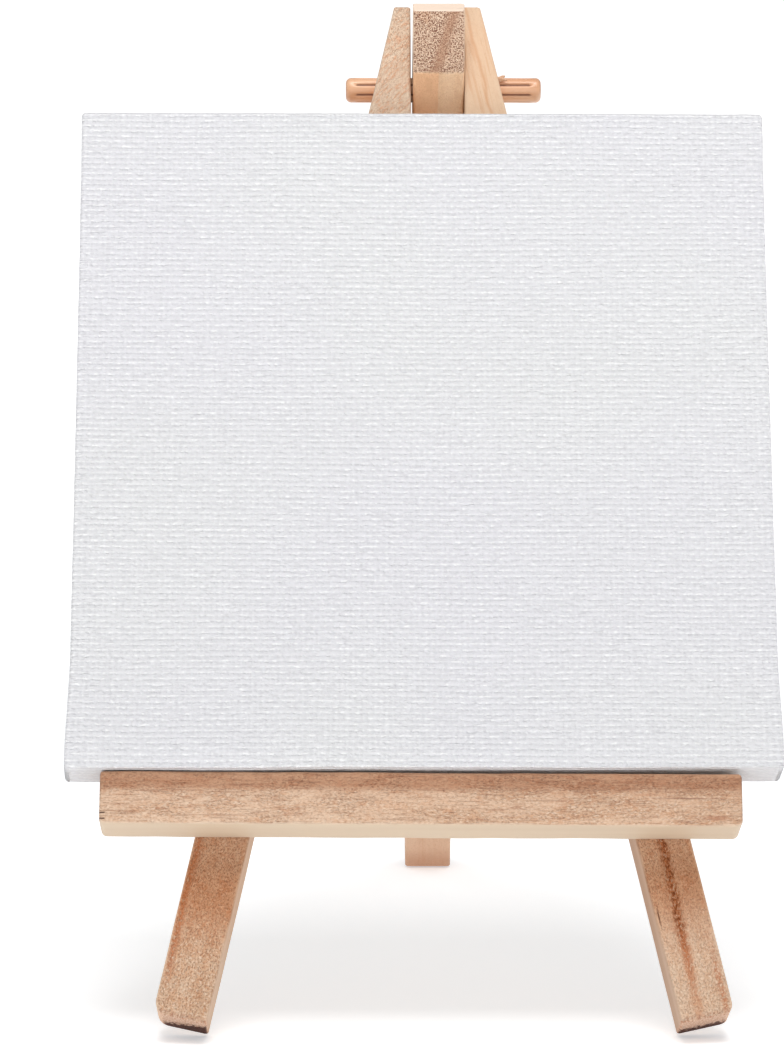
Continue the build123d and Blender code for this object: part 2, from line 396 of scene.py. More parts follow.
def fluted_dowel(name, seed):
    """A turned pin: the radius is the pin's, less the flutes and less the rounded ends.

    A flute is a rounded groove, exp(-(angle from the groove / its half angle)^2), that fades out
    before each end.
    """
    low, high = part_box("hinge_dowel")
    radius = (high.z - low.z) / 2
    middle_y, middle_z = (low.y + high.y) / 2, (low.z + high.z) / 2
    length = high.x - low.x
    rounds = ease_along(length, DOWEL_END_ROUND, steps=8)
    rows = np.concatenate((*rounds, np.arange(0, length, DOWEL_SPACING)))
    places = np.unique(rows.round(7))[:, None]
    near_end = np.minimum(places, length - places)
    angles = np.linspace(0, 2 * pi, DOWEL_SIDES, endpoint=False)
    groove = (angles * DOWEL_FLUTES / (2 * pi) + FLUTE_PLACE) % 1 - 0.5
    cut = ease((near_end - DOWEL_PLAIN_END) / FLUTE_FADE)
    cut = cut * np.exp(-((groove / FLUTE_HALF_WIDTH) ** 2))
    spot = np.broadcast_arrays(places / MM * 0.4, np.cos(angles) * 3, np.sin(angles) * 3)
    radii = radius - rounded_inset(near_end, DOWEL_END_ROUND) - FLUTE_DEPTH * cut
    radii = radii - DOWEL_RELIEF * (1 + soft_noise(np.stack(spot, -1), seed))
    along, across, up = np.broadcast_arrays(places, radii * np.cos(angles), radii * np.sin(angles))
    rings = np.stack((low.x + along, middle_y + across, middle_z + up), -1)
    end = np.broadcast_to(ease(1 - near_end / (0.3 * MM)), cut.shape)
    fields = {
        "grain": np.stack((across, along, up), -1) / MM,
        "faces": np.stack((0 * cut, end, cut), -1),
    }
    return close_skin(name, rings, fields)


def sliver_rings(start, sweep, width, curl):
    """Rings of one torn sliver: a flat oval with a round tip, swept from its root along an arc.

    The middle line is start + sweep * t + curl * t^2, with t from 0 at the root to 1 at the tip.
    """
    t = np.linspace(0, 1, 9)[:, None, None]
    angles = np.linspace(0, 2 * pi, 8, endpoint=False)[None, :, None]
    beside = unit(np.cross(sweep, (0, 1, 0.3)))
    over = unit(np.cross(sweep, beside))
    girth = width / 2 * np.sqrt(1.04 - t * t)
    line = np.asarray(start) + t * np.asarray(sweep) + t * t * np.asarray(curl)
    return line + girth * (np.cos(angles) * beside + 0.5 * np.sin(angles) * over)


def slivers(name, spans):
    """Torn slivers of wood joined into one piece, each from (start, sweep, width, curl)."""
    pieces = []
    for index, span in enumerate(spans):
        rings = sliver_rings(*span)
        fields = {"grain": rings / MM, "faces": np.zeros_like(rings)}
        pieces.append(close_skin(f"{name}_{index}", rings, fields, cap_scales=(0.5,)))
    with bpy.context.temp_override(
        active_object=pieces[0], selected_editable_objects=pieces, selected_objects=pieces
    ):
        bpy.ops.object.join()
    pieces[0].name = name
    return pieces[0]


def grid_line(half, corner, border=2.4 * MM):
    """Places of the cloth's grid lines from -half to half: fine in the rounded corner and over
    a border beside it, wide in the middle."""
    inner, fine = half - corner, half - corner - border
    middle = np.linspace(-fine, fine, 101)
    right = np.concatenate((np.linspace(fine, inner, 11)[1:], np.linspace(inner, half, 6)[1:]))
    return np.concatenate((-right[::-1], middle, right))


def round_block(x, y, half_x, half_y, corner):
    """Bends the square corner blocks of a grid into quarter discs.

    In a block, the greater of the two shares is the radius, and their ratio is the angle.
    """
    u = np.clip((np.abs(x) - (half_x - corner)) / corner, 0, 1)
    v = np.clip((np.abs(y) - (half_y - corner)) / corner, 0, 1)
    reach = np.maximum(u, v)
    ratio = np.minimum(u, v) / np.maximum(reach, 1e-9)
    angle = np.where(u >= v, ratio * pi / 4, pi / 2 - ratio * pi / 4)
    block = (u > 0) & (v > 0)
    bent_x = np.sign(x) * (half_x - corner + corner * reach * np.cos(angle))
    bent_y = np.sign(y) * (half_y - corner + corner * reach * np.sin(angle))
    return np.where(block, bent_x, x), np.where(block, bent_y, y)


def cloth_section(thick):
    """The cloth's way round the front edge, down a side, round the back edge and in along the
    hem, in steps: how far out of the rim, how high over the back, how far in (0 to 1)."""
    turn = np.linspace(0, pi / 2, 8)[1:]
    side = np.linspace(thick - CLOTH_FRONT_ROUND, CLOTH_BACK_ROUND, 15)[1:]
    hem = np.linspace(0, 1, 13)[1:]
    out = (
        CLOTH_FRONT_ROUND * np.sin(turn),
        np.full(len(side), CLOTH_FRONT_ROUND),
        CLOTH_FRONT_ROUND - CLOTH_BACK_ROUND * (1 - np.cos(turn)),
        np.full(len(hem), CLOTH_FRONT_ROUND - CLOTH_BACK_ROUND),
    )
    height = (
        thick - CLOTH_FRONT_ROUND * (1 - np.cos(turn)),
        side,
        CLOTH_BACK_ROUND * (1 - np.sin(turn)),
        np.zeros(len(hem)),
    )
    inward = (np.zeros(len(turn) + len(side) + len(turn)), hem)
    return np.concatenate(out), np.concatenate(height), np.concatenate(inward)


def stretched_cloth(name):
    """The primed cloth over its bars: a flat front grid whose border runs on as rings, round the
    front edge, down the four sides, round the back edge and in along the back as the hem.

    A ring is the border moved out along its own normal and down through the thickness, and the
    hem's rings shrink towards the middle. settle_cloth then pulls it all into its real shape.
    """
    bench = front.turned(CANVAS_TURN)
    low, high = bench.extent("canvas_cloth")
    middle = (low + high) / 2
    half_x, half_y, half_thick = (high - low) / 2
    thick = 2 * half_thick
    inner_x, inner_y = half_x - CLOTH_FRONT_ROUND, half_y - CLOTH_FRONT_ROUND
    corner = CLOTH_CORNER_ROUND - CLOTH_FRONT_ROUND

    x, y = np.meshgrid(grid_line(inner_x, corner), grid_line(inner_y, corner))
    x, y = round_block(x, y, inner_x, inner_y, corner)
    index = np.arange(x.size).reshape(x.shape)
    border = np.concatenate((index[0, :-1], index[:-1, -1], index[-1, :0:-1], index[:0:-1, 0]))
    front_quads = np.stack((index[:-1, :-1], index[:-1, 1:], index[1:, 1:], index[1:, :-1]), -1)

    grid = np.stack((x.ravel(), y.ravel()), -1)
    rim = grid[border]
    reach = np.array((inner_x - corner, inner_y - corner))
    normal = rim - np.clip(rim, -reach, reach)
    normal = normal / np.linalg.norm(normal, axis=1, keepdims=True)

    out, height, inward = cloth_section(thick)
    outline = rim + normal * out[:, None, None]
    shrink = np.array((HEM / half_x, HEM / half_y))
    rings = outline * (1 - inward[:, None, None] * shrink)
    ring_height = np.broadcast_to(height[:, None], rings.shape[:2])
    ring_normal = np.broadcast_to(normal, rings.shape)

    # Place on the flat cut: the border's place plus the length gone round since the border.
    steps = np.hypot(np.diff(out, prepend=0), np.diff(height, prepend=thick))
    run = np.cumsum(steps) + inward * HEM
    flat = np.concatenate((grid, (rim + normal * run[:, None, None]).reshape(-1, 2)))

    plan = np.concatenate((grid, rings.reshape(-1, 2)))
    level = np.concatenate((np.full(len(grid), thick), ring_height.ravel()))
    facing = np.concatenate((np.zeros_like(grid), ring_normal.reshape(-1, 2)))
    on_hem = np.concatenate((np.zeros(len(grid)), np.repeat(ease(inward * 8), len(rim))))
    plan, level = settle_cloth(plan, level, facing, on_hem, half_x, half_y, thick)

    ring_points = np.arange(len(out) * len(rim)).reshape(len(out), len(rim))
    links = np.concatenate((border[None], len(grid) + ring_points))
    ahead = np.roll(links, -1, axis=1)
    ring_quads = np.stack((links[:-1], links[1:], ahead[1:], ahead[:-1]), -1)
    quads = np.concatenate((front_quads.reshape(-1, 4), ring_quads.reshape(-1, 4)))
    local = np.stack((middle[0] + plan[:, 0], middle[1] + plan[:, 1], low[2] + level), -1)
    weave = np.stack((flat[:, 0], flat[:, 1], np.zeros(len(flat))), -1) / MM
    no_triangles = np.empty((0, 3), int)
    cloth = add_piece(name, bench.world(local), quads, no_triangles, {"weave": weave})
    skin = cloth.modifiers.new("cloth thickness", "SOLIDIFY")
    skin.thickness = CLOTH_THICKNESS
    skin.offset = -1
    skin.material_offset = 1
    return cloth


def settle_cloth(plan, level, facing, on_hem, half_x, half_y, thick):
    """Pulls the drawn cloth into its real, slightly uneven shape: slack between the bars, sides
    that swell beside the tucked corners, a sagging bottom, fold lines and a lapped hem."""

    def near(distance, reach):
        """1 at no distance, falling smoothly to 0 at that reach in millimetres."""
        return ease(1 - distance / (reach * MM))

    x, y = plan[:, 0], plan[:, 1]
    from_side, from_end = half_x - np.abs(x), half_y - np.abs(y)
    to_bottom, to_top = half_y + y, half_y - y
    on_edge = 1 - on_hem
    sample = np.stack((x, y, level), -1) / MM

    # Slack between the bars' lips, a little deeper towards the middle.
    lip = 12 * MM
    inside = ease(from_side / lip) * ease(from_end / lip) * (level > thick / 2)
    slack = inside * (0.10 + 0.05 * soft_noise(sample * 0.06, 51)) * MM

    # Tucked cloth swells the sides beside the bottom corners, and barely at the top ones.
    left_at_back = (1 - level / thick) * (x < 0)
    swell = 0.55 * near(to_bottom, 18) + 0.12 * near(to_top, 10)
    swell = swell + 0.3 * left_at_back * near(to_bottom, 6)
    outward_x = swell * near(from_side, 5) * MM * np.sign(x)

    # The bottom sags unevenly onto the ledge, most on the left.
    sag = 0.16 - 0.14 * x / half_x + 0.07 * soft_noise(sample * (0.07, 0, 0), 52)
    outward_y = -near(to_bottom, 3) * sag * MM

    # A fold line runs down the end faces beside each corner.
    fold = np.exp(-(((from_side - 0.8 * MM) / (0.15 * MM)) ** 2)) * np.abs(facing[:, 1]) * on_edge
    # The hem laps over itself along each corner's diagonal.
    beyond = ease((from_side - from_end) / (0.5 * MM) + 0.5)
    near_corner = ease(1.6 - np.maximum(from_side, from_end) / (9 * MM))
    lap = on_hem * beyond * near_corner * 0.3 * MM

    rough = 0.03 * MM * soft_noise(sample * 0.5, 53)
    plan = plan + facing * (rough - 0.1 * MM * fold)[:, None] * on_edge[:, None]
    plan = plan + np.stack((outward_x, outward_y), -1)
    level = level - slack - lap - 0.04 * MM * on_hem * (1 + soft_noise(sample * 0.3, 54))
    return plan, level


# ------------------------------
# Materials


class Wire:
    """A socket of a material's nodes. Operators on it add Math nodes."""

    def __init__(self, tree, socket):
        self.tree, self.socket = tree, socket

    def node(self, kind, settings=(), inputs=(), output=0):
        """Adds a node of that type, sets its settings, fills or links its sockets."""
        added = self.tree.nodes.new(kind)
        for key, value in dict(settings).items():
            setattr(added, key, value)
        for key, value in dict(inputs).items():
            if isinstance(value, Wire):
                self.tree.links.new(value.socket, added.inputs[key])
            else:
                added.inputs[key].default_value = value
        return Wire(self.tree, added.outputs[output])

    def math(self, operation, *others):
        """A Math node with this number first."""
        return self.node("ShaderNodeMath", {"operation": operation}, enumerate((self, *others)))

    def __add__(self, other):
        return self.math("ADD", other)

    def __sub__(self, other):
        return self.math("SUBTRACT", other)

    def __rsub__(self, other):
        return self.node("ShaderNodeMath", {"operation": "SUBTRACT"}, {0: other, 1: self})

    def __mul__(self, other):
        return self.math("MULTIPLY", other)

    __radd__ = __add__
    __rmul__ = __mul__

    def stretch(self, x, y, z):
        """This vector, each direction multiplied."""
        factors = {0: self, 1: (x, y, z)}
        return self.node("ShaderNodeVectorMath", {"operation": "MULTIPLY"}, factors)

    def turned(self, x, y, z):
        """This vector turned by those angles."""
        return self.node("ShaderNodeMapping", (), {"Vector": self, "Rotation": (x, y, z)})

    def parts(self):
        """The three numbers of this vector."""
        split = self.node("ShaderNodeSeparateXYZ", (), {0: self})
        outputs = split.socket.node.outputs
        return [Wire(self.tree, outputs[k]) for k in range(3)]

    def noise(self, x=1, y=1, z=1, scale=1.0, detail=2.0, roughness=0.5, distortion=0.0):
        """Noise from 0 to 1 at this place, each direction multiplied first."""
        inputs = {"Vector": self.stretch(x, y, z), "Scale": scale, "Detail": detail}
        inputs.update({"Roughness": roughness, "Distortion": distortion})
        return self.node("ShaderNodeTexNoise", (), inputs)

    def step(self, low, high):
        """0 where this number is under low, 1 above high, smooth between."""
        return self.node(
            "ShaderNodeMapRange",
            {"interpolation_type": "SMOOTHSTEP"},
            {"Value": self, "From Min": low, "From Max": high},
        )

    def hill(self, place, width):
        """1 where this number is at place, falling to 0 at width either side."""
        return 1 - (self - place).math("ABSOLUTE").step(0.0, width)

    def blend(self, first, second, kind="MIX"):
        """First colour where this number is 0, second where it is 1."""
        settings = {"data_type": "RGBA", "blend_type": kind, "clamp_factor": True}
        return self.node("ShaderNodeMix", settings, {0: self, 6: first, 7: second}, output=2)

    def tint(self, colour, tone):
        """The colour where this number is 0, the colour multiplied by the tone where it is 1."""
        return self.blend(colour, tone, "MULTIPLY")


def paint(red, green, blue):
    """A colour from its 0 to 255 screen values, as Blender's linear numbers."""
    levels = np.array((red, green, blue)) / 255
    linear = np.where(levels < 0.04045, levels / 12.92, ((levels + 0.055) / 1.055) ** 2.4)
    return (*linear.tolist(), 1.0)


def start_material(name, field=None):
    """A new material, and the place that its patterns follow, in millimetres: the field of that
    name, or the object's own coordinates."""
    material = bpy.data.materials.new(name)
    material.use_nodes = True
    tree = material.node_tree
    if field:
        source = tree.nodes.new("ShaderNodeAttribute")
        source.attribute_name = field
        return material, Wire(tree, source.outputs["Vector"])
    source = tree.nodes.new("ShaderNodeTexCoord")
    return material, Wire(tree, source.outputs["Object"]).stretch(1 / MM, 1 / MM, 1 / MM)


def feed_surface(material, links, constants):
    """Links wires to sockets of the material's surface, and sets constants on others."""
    surface = material.node_tree.nodes["Principled BSDF"]
    for socket, wire in links.items():
        material.node_tree.links.new(wire.socket, surface.inputs[socket])
    for socket, value in constants.items():
        surface.inputs[socket].default_value = value
    return material


def finish_material(material, colour, roughness, height, constants=()):
    """Feeds the surface: height is in millimetres and becomes a bump."""
    relief = {"Strength": 1.0, "Distance": MM, "Height": height}
    bump = height.node("ShaderNodeBump", (), relief)
    links = {"Base Color": colour, "Roughness": roughness, "Normal": bump}
    return feed_surface(material, links, dict(constants))


# Pine, and what stains or bleaches it, with painted shade at the feet and painted light on the
# back leg's tip.
CREAM_PINE = paint(238, 214, 190)
PALE_PINE = paint(226, 194, 166)
TAN_PINE = paint(206, 168, 138)
ORANGE_PINE = paint(204, 146, 104)
RED_PINE = paint(172, 112, 80)
EMBER_PINE = paint(184, 104, 58)
BROWN_PINE = paint(128, 78, 54)
DARK_STREAK = paint(112, 58, 34)
DARK_CRACK = paint(84, 42, 28)
END_GRAIN = paint(214, 178, 150)
FRAYED_PINE = paint(210, 178, 156)
# Dirt on the feet's end grain, and painted shade there near the floor.
FOOT_DIRT_AND_SHADE = paint(70, 34, 26)
TORN_ORANGE = paint(222, 154, 112)
VEINED_TOP = paint(216, 182, 146)
BELOW_CUT = paint(252, 208, 164)
BELOW_CUT_ORANGE = paint(244, 188, 142)
CUT_BAND = paint(180, 132, 102)
# Painted light: the back leg's tip, paler where its top faces up.
LIT_CUT_TIP = paint(236, 213, 193)
LEDGE_UNDERSIDE = paint(192, 178, 154)
DOWEL_PALE = paint(232, 184, 146)
DOWEL_WARM = paint(216, 156, 114)

# Tones that deepen the pine under them, all painted shade: under the ledge and low on the
# back leg, on the front legs' inner sides, and the canvas's shadow along the ledge's top.
SHADE_TONE = paint(233, 203, 182)
CANVAS_SHADOW_TONE = paint(212, 188, 172)
SIDE_SHADE_TONE = paint(222, 217, 217)

# The cloth and the staples.
PRIMER = paint(230, 230, 231)
COOL_PRIMER = paint(229, 228, 232)
# Painted shade for the ribs' valleys, painted highlight for their crests.
PRIMER_VALLEY_SHADE = paint(208, 208, 212)
PRIMER_CREST_HIGHLIGHT = paint(249, 249, 249)
COTTON = paint(226, 218, 198)
COTTON_FLECK = paint(204, 192, 166)
OPEN_WEAVE = paint(178, 164, 138)
STEEL = paint(196, 198, 202)
DULL_STEEL = paint(150, 150, 154)

# What a surface has besides its colour, roughness and bump.
WORN_SHEEN = {"Specular IOR Level": 0.05}
POLISH = {"Coat Weight": 0.5, "Coat Roughness": 0.22}
METAL = {"Metallic": 1.0}

TEAR = (3.6, 2.6, 3.6)  # torn flecks to a millimetre, across, along and through
LEDGE_TEAR = (3.8, 1.9, 3.8)
SLANT = radians(30)  # torn fibres near the left leg's top, off its grain


def lay_over(colour, *coats):
    """The colour with coats laid over it in turn, each a share from 0 to 1 and a colour."""
    for share, coat in coats:
        colour = share.blend(colour, coat)
    return colour


def planed_pine(place, light=PALE_PINE, main=TAN_PINE):
    """Planed pine at a place in millimetres (across, along, through): colour and height.

    Soft bands of colour run along the stick and fine fibres lie over them.
    """
    tone = place.noise(0.16, 0.012, 0.16, detail=3.0, roughness=0.6)
    bands = place.noise(0.55, 0.01, 0.55, roughness=0.7, distortion=0.4)
    fibre = place.noise(6.0, 0.22, 6.0, detail=3.0, roughness=0.6)
    colour = lay_over(
        tone.step(0.3, 0.7).blend(light, main),
        (bands.step(0.5, 0.78) * 0.35, ORANGE_PINE),
        (fibre.step(0.5, 0.85) * 0.3, ORANGE_PINE),
    )
    return colour, fibre * 0.02


def pine(place, faces, tear=TEAR, light=PALE_PINE, main=TAN_PINE):
    """Pine with its sawn faces, its end grain and its worn edges: colour and height.

    Sawn faces are a dense mottle of torn flecks, light and dark, of the size that tear gives.
    End grain adds dark pores over its growth rings.
    """
    sawn, end, worn = faces
    colour, height = planed_pine(place, light, main)
    torn = place.stretch(*tear)
    flecks = torn.noise(roughness=0.7, distortion=0.5)
    specks = torn.noise(1.5, 1.2, 1.5, detail=1.0)
    blotch = torn.noise(0.3, 0.25, 0.3, roughness=0.6)
    pores = place.noise(scale=5.4, detail=1.0, roughness=0.6)
    rings = (place.noise(1.0, 0.35, 1.0, scale=0.25, detail=1.0) * 9.0).math("SINE")
    end_colour = lay_over(
        (rings.step(-0.2, 0.9) * 0.4).blend(END_GRAIN, ORANGE_PINE),
        (pores.step(0.46, 0.36) * 0.65, CREAM_PINE),
        (pores.step(0.50, 0.60) * 0.95, BROWN_PINE),
    )
    colour = lay_over(
        colour,
        ((1 - sawn) * 0.35, CREAM_PINE),
        (sawn * blotch.step(0.46, 0.66) * 0.4, ORANGE_PINE),
        (sawn * flecks.step(0.48, 0.34) * 0.6, CREAM_PINE),
        (sawn * flecks.step(0.52, 0.64) * 0.35, RED_PINE),
        (sawn * specks.step(0.56, 0.68) * 0.42, BROWN_PINE),
        (worn * 0.35, CREAM_PINE),
        (end, end_colour),
    )
    height = height + sawn * (flecks * 0.3 - specks.step(0.5, 0.7) * 0.1)
    height = height - end * pores.step(0.48, 0.66) * 0.07
    return colour, height


def stick_faces(place):
    """The sawn, end-grain and worn-edge shares of a stick's surface. On the dowel the last is
    the flutes'."""
    faces = place.node("ShaderNodeAttribute", {"attribute_name": "faces"}, output="Vector")
    return faces.parts()


def weather_and_shade_foot(place, colour, along, depth, end):
    """The foot of a leg: pale frayed fibres round its front edge, and dark end grain behind, where
    the depth from the front is low: dirt there, and painted shade near the floor."""
    grit = place.noise(3.4, 2.4, 3.4, detail=3.0, roughness=0.7)
    crumbs = place.noise(1.4, 1.4, 1.4, detail=3.0, roughness=0.7)
    foot = along.step(8.0, 1.0)
    frayed = foot * end.math("MAXIMUM", along.step(1.0, 0.2) * grit.step(0.36, 0.6))
    # Dark end grain at the foot: dirt, and painted shade near the floor.
    dirt_and_shade = foot * end * (depth + crumbs * 9.0).step(5.0, 3.8)
    return lay_over(
        colour,
        (frayed * 0.85, FRAYED_PINE),
        (frayed * grit.step(0.50, 0.58) * 0.7, RED_PINE),
        (frayed * grit.step(0.46, 0.36) * 0.6, CREAM_PINE),
        (dirt_and_shade * 0.95, FOOT_DIRT_AND_SHADE),
    )


def deepen_front_leg(colour, along, sawn, inner):
    """A front leg's painted shade, greyer on its inner side and darker under the ledge, and the
    paler wood towards its top."""
    under = along.step(7.0, 18.0) * along.step(90.0, 50.0) * (1 - along.step(19.0, 27.0) * 0.4)
    # Painted shade: the inner side greyer.
    colour = inner.tint(colour, SIDE_SHADE_TONE)
    # Painted shade under the ledge, where its shadow falls.
    colour = (under * (0.2 + sawn * 0.75)).tint(colour, SHADE_TONE)
    return (along.step(80.0, 120.0) * 0.4).blend(colour, CREAM_PINE)


def left_leg_pine():
    """Left front leg: an orange streak down its outer edge, slanted torn fibres near its top."""
    material, place = start_material("left leg pine", "grain")
    faces = stick_faces(place)
    sawn, end = faces[:2]
    across, along, through = place.parts()
    colour, height = pine(place, faces)
    wobble = place.noise(0, 0.09, 0)
    grit = place.noise(3.4, 2.0, 3.4, detail=3.0)
    slanted = place.turned(0, 0, SLANT).noise(3.0, 0.8, 3.0, detail=3.0, roughness=0.6)

    streak = (across + wobble * 1.4).hill(-2.5, 1.0) * along.step(3.0, 8.0)
    streak = streak * along.step(70.0, 40.0) * sawn * grit.step(0.32, 0.52)
    top = along.step(110.0, 135.0) * sawn
    colour = lay_over(
        deepen_front_leg(colour, along, sawn, across.step(3.5, 3.8) * 0.5),
        (streak * 0.7, EMBER_PINE),
        (top * 0.3, CREAM_PINE),
        (top * slanted.step(0.5, 0.62) * 0.45, TORN_ORANGE),
        (top * slanted.step(0.48, 0.34) * 0.7, CREAM_PINE),
    )
    colour = weather_and_shade_foot(place, colour, along, through - across * 0.45, end)
    height = height - streak * 0.1 + top * slanted * 0.15
    return finish_material(material, colour, 0.62 + sawn * 0.2, height, WORN_SHEEN)


def right_leg_pine():
    """Right front leg: a crumbled dark streak down the middle, a crack near the inner edge, a
    smooth veined top."""
    material, place = start_material("right leg pine", "grain")
    sawn, end, worn = stick_faces(place)
    across, along, through = place.parts()
    top = along.step(110.0, 130.0)
    sawn = sawn * (1 - top * 0.75)
    colour, height = pine(place, (sawn, end, worn))
    wobble = place.noise(0, 0.12, 0)
    grit = place.noise(3.2, 1.8, 3.2, detail=3.0, roughness=0.75, distortion=0.5)
    veins = place.noise(1.6, 0.09, 1.6, roughness=0.6, distortion=0.5)
    drift = across + (wobble - 0.5) * 0.9

    streak = (drift - along * 0.035).hill(-1.1, 1.3) * along.step(75.0, 35.0) * sawn
    core = streak * (grit + streak * 0.1).step(0.44, 0.60) * (0.35 + along.step(1.0, 12.0) * 0.65)
    dark = core * grit.step(0.52, 0.62) * along.step(8.0, 16.0)
    bright = streak * grit.step(0.46, 0.36) * along.step(6.0, 14.0)
    edge = across.hill(2.9, 0.9) * along.step(15.0, 4.0) * sawn
    crack = drift.hill(-3.25, 0.14) * along.hill(15.6, 2.4)
    vein = (across + (wobble - 0.5) * 2.0).hill(1.7, 0.45)
    colour = lay_over(
        deepen_front_leg(colour, along, sawn, across.step(-3.5, -3.8)),
        (along.step(22.0, 10.0) * sawn * 0.22, CREAM_PINE),
        (streak * grit * 0.5, ORANGE_PINE),
        (core * 0.85, EMBER_PINE),
        (dark * 0.85, DARK_STREAK),
        (bright * 0.6, PALE_PINE),
        (edge * grit.step(0.42, 0.54) * 0.65, EMBER_PINE),
        (crack * 0.8, DARK_STREAK),
        (top * 0.4, VEINED_TOP),
        (top * veins.step(0.5, 0.68) * 0.3, ORANGE_PINE),
        (top * vein * 0.45, ORANGE_PINE),
    )
    colour = weather_and_shade_foot(place, colour, along, through + 0.9, end)
    height = height - dark * 0.15 + bright * 0.1 - crack * 0.25
    return finish_material(material, colour, 0.62 + sawn * 0.2, height, WORN_SHEEN)


def back_leg_pine():
    """Back leg: fine pores and a diagonal band on the slanted cut, orange and pale pine side by
    side below it, and a square tip above it, paled with painted light; painted shade low down."""
    material, place = start_material("back leg pine", "grain")
    sawn, end, worn = stick_faces(place)
    across, along, through = place.parts()
    upper = along.step(120.0, 145.0)
    sawn = sawn * (0.2 + upper * 0.4)
    colour, height = pine(place, (sawn, end, worn), light=CREAM_PINE, main=PALE_PINE)
    wobble = place.noise(0.3, 0.3, 0.3)
    flame = place.noise(0.8, 0.3, 0.8, detail=3.0, distortion=0.6).step(0.5, 0.66)

    front_side = upper * (1 - end) * across.step(2.6, 3.7)
    band = (through + along * 0.4 + (wobble - 0.5) * 1.2).hill(63.7, 1.5) * end * upper
    split = (through + (wobble - 0.5) * 0.5).step(-0.1, 0.15) * front_side
    # The square tip, paled with painted light where its top faces up.
    tip = end * along.step(165.05, 165.15)
    colour = lay_over(
        # Painted shade on the lower half, under the shade tone.
        (along.step(90.0, 50.0) * 0.6).tint(colour, SHADE_TONE),
        (front_side * 0.7, BELOW_CUT),
        (band * 0.7, CUT_BAND),
        (split * 0.7, BELOW_CUT_ORANGE),
        (flame * front_side * 0.2, ORANGE_PINE),
        (tip, LIT_CUT_TIP),
        # Painted shade near the floor, darker towards the foot.
        (along.step(5.0, 1.5) * 0.4, RED_PINE),
        (end * along.step(8.0, 1.0) * 0.6, BROWN_PINE),
    )
    return finish_material(material, colour, 0.55 + sawn * 0.1, height * (1 - tip * 0.9))


def ledge_pine():
    """Ledge: wavy fibres with patches of torn flecks on the front, the canvas's painted shadow
    along its top, a vein and a knot near its right end, two nicks in its left; the other faces
    planed."""
    material, place = start_material("ledge pine", "grain")
    sawn, end, worn = stick_faces(place)
    across, along, through = place.parts()
    patches = place.noise(0.45, 0.13, 0.45, roughness=0.6).step(0.42, 0.58)
    colour, height = pine(place, (sawn * (0.6 + patches * 0.35), end, worn), tear=LEDGE_TEAR)
    lines = place.noise(3.0, 0.2, 3.0, detail=3.0, roughness=0.65, distortion=0.6)
    wobble = place.noise(0, 0.12, 0)
    drift = across + (wobble - 0.5) * 0.8

    # Painted shadow of the canvas along the ledge's top, fading towards the middle.
    canvas_shadow = drift.step(-0.6, -2.0) * 0.85 + drift.step(1.5, -0.5) * 0.15
    vein = (across + (wobble - 0.5) * 0.4).hill(-0.15, 0.16) * along.hill(83.5, 7.0) * sawn
    knot = across.hill(2.7, 0.6) * along.hill(87.5, 3.6)
    under = (1 - sawn) * across.step(3.3, 3.7)
    nicks = across.hill(2.25, 0.16).math("MAXIMUM", across.hill(3.1, 0.16))
    nicks = nicks * along.step(0.9, 0.7)
    colour = lay_over(
        colour,
        (sawn * lines.step(0.54, 0.68) * 0.36, RED_PINE),
        (sawn * lines.step(0.46, 0.32) * 0.25, CREAM_PINE),
    )
    colour = lay_over(
        (canvas_shadow * through.step(2.6, 3.4)).tint(colour, CANVAS_SHADOW_TONE),
        (vein * 0.7, BROWN_PINE),
        (knot * 0.6, RED_PINE),
        (under * 0.6, LEDGE_UNDERSIDE),
        (nicks, DARK_CRACK),
    )
    height = height - sawn * lines.step(0.55, 0.72) * 0.08 - nicks * 0.2
    return finish_material(material, colour, 0.6 + sawn * 0.15, height)


def dowel_pine():
    """Dowel: warm polished wood, with painted shade in the flutes."""
    material, place = start_material("dowel wood", "grain")
    end, flute = stick_faces(place)[1:]
    fibre = place.noise(5.0, 0.2, 5.0, detail=3.0)
    tone = place.noise(0.3, 0.03, 0.3)
    colour = lay_over(
        tone.step(0.3, 0.7).blend(DOWEL_PALE, DOWEL_WARM),
        (fibre.step(0.5, 0.8) * 0.35, ORANGE_PINE),
        # Painted shade in the flutes.
        (flute.step(0.2, 0.9) * 0.85, BROWN_PINE),
        (end * 0.4, RED_PINE),
    )
    return finish_material(material, colour, 0.42 + end * 0.3, fibre * 0.02, POLISH)


def sliver_pine():
    """Torn slivers: pale fresh fibres."""
    material, place = start_material("torn pine fibres", "grain")
    fibre = place.noise(scale=2.0, detail=3.0)
    colour = fibre.blend(PALE_PINE, ORANGE_PINE)
    return finish_material(material, colour, 0.6 + fibre * 0.1, fibre * 0.02)


def bar_pine(name, *turn):
    """Stretcher bars: planed pine, its grain turned to run along the bar."""
    material, place = start_material(name)
    colour, height = planed_pine(place.turned(*turn))
    return finish_material(material, colour, 0.62 + height, height)


